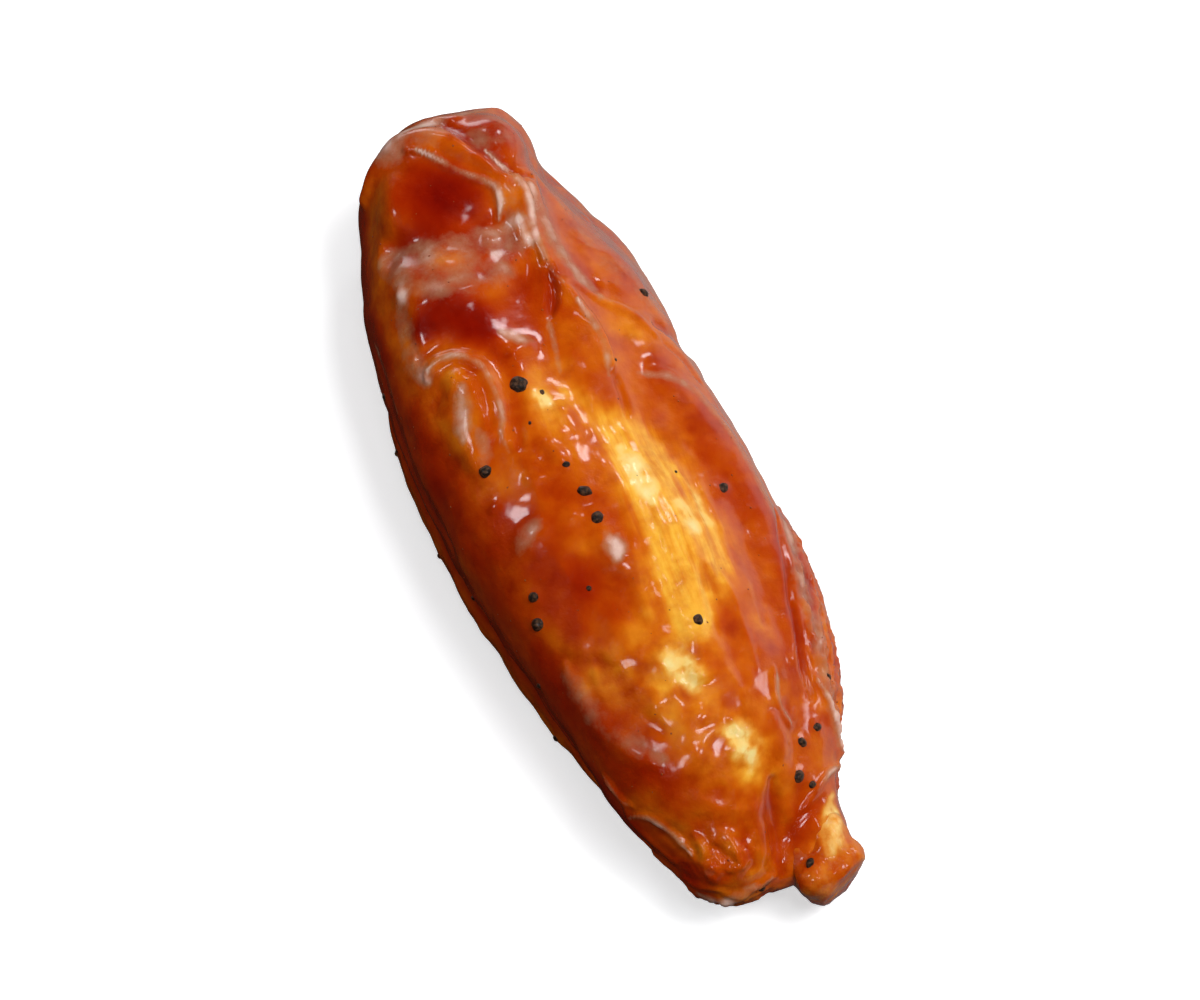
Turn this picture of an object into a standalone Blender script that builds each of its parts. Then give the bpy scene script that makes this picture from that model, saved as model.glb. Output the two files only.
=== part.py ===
"""One sauced chicken wing flat, lying as it rests on a table, at its real size in metres.

+Y runs from the wrist end to the elbow end, +X towards the thin muscle and the skin fan, +Z up.
The origin is on the resting plane, below the middle of the whole.
"""

import math

import bmesh
import bpy
from mathutils import Vector

# Driving dimensions
WING_LENGTH = 0.0965  # elbow knuckle to the tip of the bone
WING_WIDTH = 0.0378  # across both muscles
WING_HEIGHT = 0.0245  # resting plane to the crest
SETTLED_DEPTH = 0.0016  # how far the soft underside is pressed flat
BONE_RADIUS = 0.0023  # middle of the bone's shaft
BONE_CLEARANCE = 0.0003  # gap between the bone and the meat round it

# Mesh fineness
SKIN_VOXEL = 0.0017
SKIN_SMOOTHING = 6
LIMB_SIDES = 28
BONE_SIDES = 12
STEPS_PER_SPAN = 4
CAP_STEPS = 4

# Each limb is a row of stations: along (0 elbow, 1 wrist, of the length), across (of the width,
# + is +X), up (of the height), half width (of the width), half height (of the height).
THICK_MUSCLE = (
    (0.110, -0.088, 0.50, 0.288, 0.46),
    (0.200, -0.170, 0.51, 0.282, 0.46),
    (0.330, -0.213, 0.52, 0.278, 0.45),
    (0.475, -0.150, 0.54, 0.335, 0.455),
    (0.620, -0.062, 0.53, 0.368, 0.45),
    (0.770, -0.015, 0.48, 0.335, 0.41),
    (0.870, -0.035, 0.41, 0.245, 0.34),
    (0.918, -0.055, 0.35, 0.150, 0.27),
)
THIN_MUSCLE = (
    (0.190, 0.120, 0.46, 0.130, 0.34),
    (0.275, 0.165, 0.44, 0.180, 0.37),
    (0.420, 0.205, 0.42, 0.200, 0.39),
    (0.550, 0.245, 0.40, 0.205, 0.37),
    (0.660, 0.268, 0.37, 0.200, 0.34),
    (0.770, 0.258, 0.35, 0.175, 0.30),
    (0.850, 0.225, 0.34, 0.130, 0.24),
    (0.895, 0.200, 0.33, 0.100, 0.19),
)
SKIN_FAN = (
    (0.110, 0.205, 0.36, 0.050, 0.14),
    (0.165, 0.250, 0.31, 0.085, 0.16),
    (0.240, 0.285, 0.28, 0.105, 0.17),
    (0.300, 0.285, 0.28, 0.096, 0.18),
    (0.340, 0.265, 0.29, 0.060, 0.16),
)
UNDER_FOLD = (
    (0.200, -0.300, 0.25, 0.130, 0.17),
    (0.330, -0.355, 0.23, 0.135, 0.18),
    (0.480, -0.350, 0.22, 0.140, 0.18),
    (0.640, -0.280, 0.21, 0.140, 0.18),
    (0.780, -0.190, 0.21, 0.130, 0.17),
    (0.870, -0.130, 0.22, 0.100, 0.15),
)
ELBOW_KNOB = (
    (0.044, 0.100, 0.60, 0.085, 0.15),
    (0.056, 0.125, 0.58, 0.086, 0.16),
)
CREST = (
    (0.065, 0.050, 0.66, 0.080, 0.22),
    (0.140, 0.075, 0.71, 0.075, 0.22),
    (0.240, 0.075, 0.71, 0.080, 0.22),
    (0.360, 0.055, 0.69, 0.105, 0.24),
    (0.470, 0.045, 0.65, 0.120, 0.26),
)
WING_LIMBS = (THICK_MUSCLE, THIN_MUSCLE, SKIN_FAN, UNDER_FOLD, ELBOW_KNOB, CREST)

# The bone's stations: along, across, up, and its radius as a share of BONE_RADIUS.
BONE_STATIONS = (
    (0.120, 0.120, 0.43, 1.35),
    (0.160, 0.135, 0.43, 1.40),
    (0.240, 0.160, 0.42, 1.05),
    (0.450, 0.215, 0.40, 1.00),
    (0.680, 0.250, 0.37, 1.00),
    (0.830, 0.225, 0.34, 1.10),
    (0.895, 0.200, 0.33, 1.20),
    (0.930, 0.190, 0.32, 1.45),
    (0.957, 0.182, 0.31, 1.75),
    (0.972, 0.182, 0.31, 1.62),
)

MEAT_COLOUR = (0.42, 0.055, 0.006, 1.0)
BONE_COLOUR = (0.66, 0.33, 0.11, 1.0)


def catmull_rom(values, place):
    """The smooth value at place, where a whole number is a station."""
    last = len(values) - 1
    span = min(int(place), last - 1)
    t = place - span
    before, a, b, after = (values[min(max(span + k, 0), last)] for k in (-1, 0, 1, 2))
    return 0.5 * (
        2 * a
        + (b - before) * t
        + (2 * before - 5 * a + 4 * b - after) * t * t
        + (3 * a - before - 3 * b + after) * t * t * t
    )


def rings_of(stations):
    """(centre, half width, half height) of each ring, with a rounded cap at both ends."""
    columns = list(zip(*stations))
    steps = (len(stations) - 1) * STEPS_PER_SPAN
    body = []
    for step in range(steps + 1):
        along, across, up, wide, high = (
            catmull_rom(column, step / STEPS_PER_SPAN) for column in columns
        )
        centre = Vector((across * WING_WIDTH, (0.5 - along) * WING_LENGTH, up * WING_HEIGHT))
        body.append((centre, wide * WING_WIDTH, high * WING_HEIGHT))
    return cap_rings(body[0], 1)[::-1] + body + cap_rings(body[-1], -1)


def cap_rings(ring, way):
    """The rings of a rounded end beyond a ring, towards way along Y."""
    centre, wide, high = ring
    reach = (wide + high) / 2
    rings = []
    for step in range(1, CAP_STEPS + 1):
        angle = math.pi / 2 * step / (CAP_STEPS + 0.5)
        offset = Vector((0, way * reach * math.sin(angle), 0))
        rings.append((centre + offset, wide * math.cos(angle), high * math.cos(angle)))
    return rings


def add_tube(bm, rings, sides):
    """A closed tube through elliptical rings that stand across Y."""
    loops = []
    for centre, wide, high in rings:
        angles = [2 * math.pi * side / sides for side in range(sides)]
        loops.append(
            [bm.verts.new(centre + Vector((wide * math.cos(a), 0, high * math.sin(a)))) for a in angles]
        )
    for near, far in zip(loops, loops[1:]):
        for side in range(sides):
            after = (side + 1) % sides
            bm.faces.new((near[side], near[after], far[after], far[side]))
    bm.faces.new(loops[0][::-1])
    bm.faces.new(loops[-1])


def bone_rings(extra_radius=0.0):
    """The bone's rings, with its radius grown by extra_radius for a cutter."""
    stations = []
    for along, across, up, share in BONE_STATIONS:
        radius = share * BONE_RADIUS + extra_radius
        stations.append((along, across, up, radius / WING_WIDTH, radius / WING_HEIGHT))
    return rings_of(stations)


def material(name, colour, roughness):
    made = bpy.data.materials.new(name)
    made.use_nodes = True
    shader = made.node_tree.nodes["Principled BSDF"]
    shader.inputs["Base Color"].default_value = colour
    shader.inputs["Roughness"].default_value = roughness
    shader.inputs["Metallic"].default_value = 0.0
    return made


def object_from(name, bm, parent, finish=None):
    bmesh.ops.recalc_face_normals(bm, faces=bm.faces[:])
    mesh = bpy.data.meshes.new(name)
    bm.to_mesh(mesh)
    bm.free()
    mesh.shade_smooth()
    if finish:
        mesh.materials.append(finish)
    obj = bpy.data.objects.new(name, mesh)
    obj.parent = parent
    bpy.context.scene.collection.objects.link(obj)
    return obj


def cut_away(target, cutter):
    """A live Boolean that takes the cutter, which is then only a guide, out of the target."""
    cutter.hide_render = True
    cutter.display_type = "WIRE"
    cut = target.modifiers.new(cutter.name, "BOOLEAN")
    cut.operation = "DIFFERENCE"
    cut.object = cutter


def make_meat(wing):
    """The muscles, knob and skin fan fused into one soft body, with the bone's channel and a pressed underside."""
    bm = bmesh.new()
    for stations in WING_LIMBS:
        add_tube(bm, rings_of(stations), LIMB_SIDES)
    meat = object_from("wing_meat", bm, wing, material("glazed_meat", MEAT_COLOUR, 0.25))

    fuse = meat.modifiers.new("fuse", "REMESH")
    fuse.mode = "VOXEL"
    fuse.voxel_size = SKIN_VOXEL
    fuse.use_smooth_shade = True
    soften = meat.modifiers.new("soften", "SMOOTH")
    soften.factor = 0.5
    soften.iterations = SKIN_SMOOTHING

    channel = bmesh.new()
    add_tube(channel, bone_rings(BONE_CLEARANCE), BONE_SIDES)
    cut_away(meat, object_from("bone_channel", channel, wing))

    slab = bmesh.new()
    bmesh.ops.create_cube(slab, size=2 * WING_LENGTH)
    bmesh.ops.translate(slab, verts=slab.verts[:], vec=(0, 0, SETTLED_DEPTH - WING_LENGTH))
    cut_away(meat, object_from("resting_plane", slab, wing))
    return meat


def make_bone(wing):
    bm = bmesh.new()
    add_tube(bm, bone_rings(), BONE_SIDES)
    return object_from("wing_bone", bm, wing, material("cooked_bone", BONE_COLOUR, 0.4))


def settle_over_origin(wing, pieces):
    """Moves the whole so that its box is centred over the origin and its underside lies at z = 0."""
    graph = bpy.context.evaluated_depsgraph_get()
    points = [
        piece.matrix_world @ vertex.co
        for piece in pieces
        for vertex in piece.evaluated_get(graph).data.vertices
    ]
    low = Vector(map(min, *points))
    high = Vector(map(max, *points))
    wing.location = (-(low.x + high.x) / 2, -(low.y + high.y) / 2, -low.z)


def main():
    for obj in list(bpy.data.objects):
        bpy.data.objects.remove(obj)
    wing = bpy.data.objects.new("wing", None)
    bpy.context.scene.collection.objects.link(wing)
    pieces = [make_meat(wing), make_bone(wing)]
    bpy.context.view_layer.update()
    settle_over_origin(wing, pieces)


main()
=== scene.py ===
import math
import random

import bmesh
import bpy
import numpy as np
from mathutils import Matrix, Quaternion, Vector, noise
from mathutils.bvhtree import BVHTree


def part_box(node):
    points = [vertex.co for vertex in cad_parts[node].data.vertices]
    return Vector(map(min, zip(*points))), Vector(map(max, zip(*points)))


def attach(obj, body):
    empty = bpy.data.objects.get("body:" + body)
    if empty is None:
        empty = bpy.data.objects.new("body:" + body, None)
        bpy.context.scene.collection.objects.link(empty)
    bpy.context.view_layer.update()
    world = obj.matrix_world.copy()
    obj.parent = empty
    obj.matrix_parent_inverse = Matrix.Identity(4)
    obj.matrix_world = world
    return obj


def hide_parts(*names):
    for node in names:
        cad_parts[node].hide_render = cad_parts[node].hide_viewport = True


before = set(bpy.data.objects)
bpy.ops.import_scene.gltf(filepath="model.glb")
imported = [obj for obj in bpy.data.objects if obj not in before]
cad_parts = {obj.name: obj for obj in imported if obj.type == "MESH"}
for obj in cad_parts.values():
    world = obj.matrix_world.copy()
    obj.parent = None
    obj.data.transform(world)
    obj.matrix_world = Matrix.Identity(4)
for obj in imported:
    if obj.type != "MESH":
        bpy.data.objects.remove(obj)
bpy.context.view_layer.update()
mm = 0.001  # the shapes below are worked out in millimetres

print("frame loaded:", ", ".join(sorted(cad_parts)))


def rowsOf(items, name, width=3, kind=np.float32):
    flat = np.empty(len(items) * width, kind)
    items.foreach_get(name, flat)
    return flat.reshape(-1, width)


def pointsOf(mesh):  # in mm
    return rowsOf(mesh.vertices, "co").astype(float) / mm


def normalsOf(mesh):
    return rowsOf(mesh.vertex_normals, "vector").astype(float)


def edgesOf(mesh):
    return rowsOf(mesh.edges, "vertices", 2, np.int32)


def setPoints(mesh, points):
    mesh.vertices.foreach_set("co", (points * mm).astype(np.float32).ravel())
    mesh.update()


def pushOut(mesh, amount, ways=None):  # along the normals or given ways, one amount for each point
    ways = normalsOf(mesh) if ways is None else ways
    setPoints(mesh, pointsOf(mesh) + ways * np.asarray(amount)[:, None])


def spread(values, edges, rounds):  # evens out a value, or a row of values, over the mesh
    values = np.array(values, float)
    single = values.ndim == 1
    if single:
        values = values[:, None]
    count = len(values)
    a, b = edges[:, 0], edges[:, 1]
    share = np.bincount(a, minlength=count) + np.bincount(b, minlength=count)
    for _ in range(rounds):
        for column in range(values.shape[1]):
            old = values[:, column]
            total = np.bincount(a, old[b], count) + np.bincount(b, old[a], count)
            values[:, column] = 0.5 * old + 0.5 * total / share
    return values[:, 0] if single else values


def softNormals(mesh, edges, rounds):  # normals that don't turn over in a crease
    normals = spread(normalsOf(mesh), edges, rounds)
    return normals / np.linalg.norm(normals, axis=1)[:, None]


def setAttribute(mesh, name, values):
    attribute = mesh.attributes.new(name, "FLOAT", "POINT")
    attribute.data.foreach_set("value", np.asarray(values, np.float32))


def ease(low, high, values):  # 0 at low, 1 at high, and smooth between
    t = np.clip((np.asarray(values, float) - low) / (high - low), 0, 1)
    return t * t * (3 - 2 * t)


def cloud(points, size, octaves=3, shift=0.0, stretch=(1, 1, 1)):  # about -1 to 1, blobs of that size
    scaled = points / (size * np.array(stretch, float)) + shift
    return np.array([noise.fractal(p, 1.0, 2.0, octaves) for p in scaled.tolist()])


def cells(points, size, shift=0.0):  # 0 at the middle of each cell, rising towards its edge
    return np.array([noise.voronoi(p)[0][0] for p in (points / size + shift).tolist()])


def clouds(points, layers):  # the sum of layers: size, height, octaves and shift
    return sum(height * cloud(points, size, octaves, shift) for size, height, octaves, shift in layers)


def remeshed(obj, voxel, smoothing):
    fuse = obj.modifiers.new("fuse", "REMESH")
    fuse.mode = "VOXEL"
    fuse.voxel_size = voxel * mm
    soften = obj.modifiers.new("soften", "SMOOTH")
    soften.factor = 0.5
    soften.iterations = smoothing
    graph = bpy.context.evaluated_depsgraph_get()
    mesh = bpy.data.meshes.new_from_object(obj.evaluated_get(graph))
    obj.modifiers.clear()
    obj.data = mesh
    mesh.shade_smooth()
    return mesh


def newPiece(name, mesh):
    piece = bpy.data.objects.new(name, mesh)
    bpy.context.scene.collection.objects.link(piece)
    return piece


def pieceFrom(name, made):  # the finished bmesh is freed
    mesh = bpy.data.meshes.new(name)
    made.to_mesh(mesh)
    made.free()
    return newPiece(name, mesh)


castAlong = {  # the face that a stroke is drawn on: which way it is looked at, and its two axes
    "top": (Vector((0, 0, -1)), (0, 1)),
    "under": (Vector((0, 0, 1)), (0, 1)),
    "left": (Vector((1, 0, 0)), (1, 2)),
    "right": (Vector((-1, 0, 0)), (1, 2)),
    "elbow": (Vector((0, -1, 0)), (0, 2)),
    "wrist": (Vector((0, 1, 0)), (0, 2)),
}
castFrom = 60  # mm from the middle, outside the wing on every side
taper = {"length": 0.2, "thinnest": 0.55}  # the share of a long stroke that tapers, and its end's width


def smoothLine(points, steps=6):
    points = [np.array(p, float) for p in points]
    if len(points) < 3:
        return np.array(points)
    padded = [2 * points[0] - points[1], *points, 2 * points[-1] - points[-2]]
    line = []
    for k in range(1, len(padded) - 2):
        before, a, b, after = padded[k - 1:k + 3]
        for step in range(steps):
            t = step / steps
            line.append(0.5 * (2 * a + (b - before) * t + (2 * before - 5 * a + 4 * b - after) * t ** 2
                               + (3 * a - before - 3 * b + after) * t ** 3))
    return np.array([*line, points[-1]])


def onSurface(surface, face, line):
    way, (first, second) = castAlong[face]
    hits = []
    for u, v in line:
        start = -way * castFrom
        start[first], start[second] = u, v
        hit = surface.ray_cast(start, way)[0]
        if hit:
            hits.append(hit)
    return np.array(hits)


def nearLine(points, line):  # how far each point is from the line, and how far along it (0 to 1)
    if len(line) == 1:
        return np.linalg.norm(points - line[0], axis=1), np.full(len(points), 0.5)
    far = np.full(len(points), 1e9)
    along = np.zeros(len(points))
    spans = len(line) - 1
    for k in range(spans):
        a, d = line[k], line[k + 1] - line[k]
        t = np.clip((points - a) @ d / max(d @ d, 1e-9), 0, 1)
        distance = np.linalg.norm(points - a - t[:, None] * d, axis=1)
        closer = distance < far
        far[closer] = distance[closer]
        along[closer] = (k + t[closer]) / spans
    return far, along


def strokeField(points, surface, strokes):
    # the sum of strokes: (line, reach, height) on the top, after a face's name on another face, and
    # with one more value where it is flat out to a wall, whose width is that share of its reach
    field = np.zeros(len(points))
    for stroke in strokes:
        face, line, reach, height, *wall = stroke if isinstance(stroke[0], str) else ("top", *stroke)
        hits = onSurface(surface, face, smoothLine(line))
        if len(hits) == 0:
            print("a stroke misses the surface:", face, line)
            continue
        near = np.all((points > hits.min(0) - reach) & (points < hits.max(0) + reach), axis=1)
        distance, along = nearLine(points[near], hits)
        if len(line) > 2:  # a long stroke grows thinner towards its ends
            whole = ease(0, taper["length"], along) * ease(0, taper["length"], 1 - along)
            distance = distance / (taper["thinnest"] + (1 - taper["thinnest"]) * whole)
        if wall:
            field[near] += height * (1 - ease(1 - wall[0], 1, distance / reach))
        else:
            field[near] += height * np.clip(1 - (distance / reach) ** 2, 0, 1) ** 2
    return field


def surfaceOf(mesh):
    faces = [tuple(p.vertices) for p in mesh.polygons]
    return BVHTree.FromPolygons(pointsOf(mesh).tolist(), faces)


skin = {
    "voxel": 0.335,  # fineness of the skin's mesh
    "smoothing": 34,  # takes the facets of the plain solid away
    "inset": 0.45,  # room for the sauce inside the plain solid's size
    "sleeve": (3.4, 8.4),  # how far from the bone's tip the skin thins out, and where it is whole
    "sleeveDepth": -0.6,  # how far it stands off the bone at that end
    "sleeveGrowth": 1.3,  # what it gains where it is whole
    "sleeveRagged": 0.3,
    "web": (((2.4, -41.6, 6.2), (5.0, 3.9, 3.2)),  # between the wrist and the bone: middle and radii
            ((4.6, -42.8, 6.2), (2.6, 2.8, 2.8))),
    "evenWays": 10,  # rounds that even out the ways in which it is pushed
    "lumps": ((9.0, 0.30), (4.2, 0.16), (2.4, 0.07)),  # size and height of its unevenness
    "levelEdge": 0.55,  # the share of a level pool that is quite level
    "levelled": 0.9,  # how nearly level that is
    "settling": 51,  # rounds that even out where the sauce has run smooth
    "slab": ((-22, -14), (12, 4)),  # where along Y its bare grain begins and is full, from each end
    "goosebumps": 0.07,  # height of the follicle bumps
    "pores": (2.3, 5.0),  # their size and shift
    "fibres": 0.07,  # height of the fibres that run along it
    "fibreLook": {"size": 0.8, "octaves": 2, "shift": 2.0, "stretch": (1, 9, 1)},
    "crinkles": 0.55,  # height of the crinkles in the loose skin on the right
    "crinkleLook": {"size": 1.7, "octaves": 4, "shift": 9.0, "stretch": (1, 2.4, 1)},
    # size, middle, swing, octaves and shift of the unevenness in its set-butterfat film and painted sheens
    # and highlights, and in its cartilage and painted highlights
    "filmUneven": (2.6, 0.85, 0.6, 4, 12.0),
    "gristleUneven": (1.5, 1.1, 1.6, 4, 31.0),
}

# What rises and sinks in the skin: (line in mm, reach in mm, height in mm), on the top unless
# a face is named first.
formStrokes = [
    # the elbow end: a level pool inside a raised rim, and the slope that runs down into it
    ([(-11.6, 32), (-8, 31.6), (-4.4, 31.2), (-1.8, 31)], 5, -1.3),
    ([(-8.4, 36.4), (-4.6, 35.6)], 4.8, -0.45),
    ([(-11.6, 40.4), (-9.2, 42.6), (-5.6, 43.2), (-2, 40.8), (0, 37.4), (1.5, 34.2), (1.9, 31),
      (1.4, 27.6)], 2.5, 0.9),
    ([(-8.6, 44.6), (-4, 45.4), (0, 44.4)], 2.2, 0.3),
    ([(-12.6, 26), (-10.6, 24.2), (-7.2, 23.6), (-3.4, 24.2), (0.6, 25.8)], 3.4, 0.4),
    ([(-11.4, 21), (-7.8, 20.6), (-4.6, 20)], 3, -0.5),
    # the small knob behind it
    ([(3.5, 40.8)], 4.4, 1.4),
    ([(-1.8, 44.4), (-0.4, 41.2), (0.8, 38.6), (2.4, 36.2), (4.8, 35.2)], 1.3, -0.9),
    ("right", [(38, 10), (36.8, 14), (37.4, 17), (36, 20)], 2.2, -0.5),
    # the crest, the strip along its left and the valley between it and the skin fan
    ([(3.2, 33), (2.9, 28), (2.7, 24), (3.4, 20), (4.6, 15.6), (4.6, 11)], 1.8, 0.3),
    ([(1.8, 17), (2, 12), (1.6, 7)], 2.6, 0.2),
    ([(5.8, 34), (5.9, 29), (5.8, 24.6), (6.6, 20.6)], 2.6, -0.5),
    # the skin fan, its soft bands and the crease that it ends in
    ([(9.6, 31), (10.8, 26), (11.4, 20.5)], 3.6, 0.5),
    ("right", [(31, 8.6), (25, 9.4), (19, 9.4)], 4.6, 0.7),
    ("right", [(15.4, 15.6), (13.8, 12.4), (14.4, 8.6), (12.6, 5), (13, 3)], 2.1, -0.55),
    ([(7, 20.4), (9, 19.2), (11.4, 17), (12.6, 14.8)], 1.6, -0.25),
    # the curled fold, a round bead, and the step down outside it
    ([(-11, 14), (-10.8, 12.4), (-11.2, 10.2), (-11.8, 8), (-12.2, 5.4)], 4, 0.8),
    ([(-13.4, 18.6), (-10.8, 18.6), (-7.4, 17), (-6.2, 14.4), (-6.1, 11), (-6.8, 8), (-7.6, 4.4)],
     1.6, -0.4),
    # the bare slab: its left edge, its body and the shallow streak beside it
    ([(-0.6, 4), (-1.2, -1), (-1.6, -7), (-2.4, -12), (-3.2, -17)], 1.8, -0.12),
    ([(4, 3), (4.4, -5), (3.6, -13), (1.8, -21)], 4.4, 0.35),
    ([(5.2, -14.6), (5.6, -18.4), (5.4, -22.6), (4.9, -27)], 1.9, -0.32),
    ([(9.4, 0.4), (11.4, -3), (11.6, -8), (10.8, -14), (9.6, -21)], 1.6, -0.2),
    # the sheet and rim along the thin muscle, and the loose skin outside it
    ([(9.4, 9.6), (11.6, 5.4), (13.4, 0.6), (14.4, -5), (14.2, -11), (12.8, -18), (11.2, -25)], 2.8, 0.45),
    ([(17.4, -10), (15.8, -16), (14.6, -22), (14, -28), (12.8, -34)], 2, 0.3),
    # bumps and hollows on the left half
    ([(-9.8, -5.6)], 3, 0.36),
    ([(-2.9, -8.6), (-2.3, -11)], 2.6, 0.36),
    ([(-7.6, 0.4)], 1.6, 0.3),
    ([(-5.2, -5)], 1.8, 0.2),
    ([(-6.2, -1.6)], 1.8, -0.3),
    ([(-7, -9.5), (-4.6, -14), (-3, -18)], 2.6, -0.3),
    ([(-11, -18.6), (-10.2, -23.6), (-8.6, -28.4), (-6.4, -31.4)], 1.9, 0.35),
    ([(-8, -20), (-6.6, -25), (-4.8, -29)], 2, -0.25),
    # soft pocks and swellings over the round end of the thick muscle
    ([(-2.4, -22.8)], 2.2, 0.25),
    ([(-0.7, -26.4)], 1.5, -0.25),
    ([(1.6, -25)], 1.7, 0.22),
    ([(-4.4, -26.8)], 1.5, 0.2),
    ([(-0.4, -29)], 1.6, 0.25),
    ([(0.2, -32.2)], 1.5, -0.22),
    ([(2.8, -29)], 1.5, -0.2),
    ([(2, -33.6)], 1.9, 0.3),
    ([(-2.6, -33)], 2.4, 0.25),
    ([(-1.2, -36.6)], 1.6, -0.25),
    ([(3.4, -36.6)], 1.5, 0.2),
    ([(6.6, -33.6)], 1.7, 0.25),
    ([(8.6, -30)], 1.6, -0.3),
    # the skin drawn together at the wrist, and the saddle between its lobe and the bone
    ([(-7.6, -36.8), (-5.6, -38.4), (-3.4, -38.2)], 1.8, -0.2),
    ([(-5, -40.4), (-4.2, -42.6)], 2, 0.3),
    ([(-2.2, -40.4), (-1.2, -42.8)], 1.6, 0.25),
    ([(-3.2, -41), (-3, -43.4)], 1, -0.3),
    ([(0, -40.6), (-0.2, -43.4)], 1.2, -0.3),
    ([(1.4, -39), (1.2, -42.4)], 1.6, 0.3),
    ([(2.8, -44), (3.2, -40.6), (4.4, -36.4)], 1.5, -0.55),
    ([(5.2, -39.4), (5.8, -35.4), (6.6, -31)], 2, 0.35),
    ("wrist", [(-8, 6), (-4, 6.6), (0, 6)], 1.8, 0.35),
    ("wrist", [(-6, 3.4), (-2, 3.8)], 1.4, -0.3),
    # the long crease of the lower fold, on the left side
    ("left", [(34, 8.2), (21, 7), (9, 8), (-3, 6.6), (-14, 7.8), (-26, 6.2), (-36, 6.8)], 2.2, -0.8),
    ("left", [(24, 13.5), (12, 12.4), (0, 12.6)], 1.6, -0.4),
]

# Where the sauce stands level: line, reach and height in mm, and its slope along Y; and where it
# has run smooth.
levels = [
    ([(-8.8, 36.6), (-6, 36.2), (-3.4, 34.8)], 4.6, 20.3, -0.09),
]
settled = [
    ([(-8.8, 36.6), (-3.4, 34.8)], 5.6, 1, 0.5),
    ([(-11, 21.6), (-7.6, 20.6), (-3.6, 20.2)], 3.6, 1, 0.5),
    ([(8, 32), (9.4, 26), (10.6, 20.6)], 4.6, 1, 0.6),
    ([(9, 9), (11.6, 4), (12.6, -2)], 2.6, 1, 0.6),
    ([(2.4, 18), (2.6, 13), (2, 9)], 1.8, 0.8, 0.6),
    ([(3.4, 41)], 3.4, 0.7, 0.6),
    ("right", [(31, 8.6), (25, 9.4), (19, 9.4)], 5, 1, 0.6),
]

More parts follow.
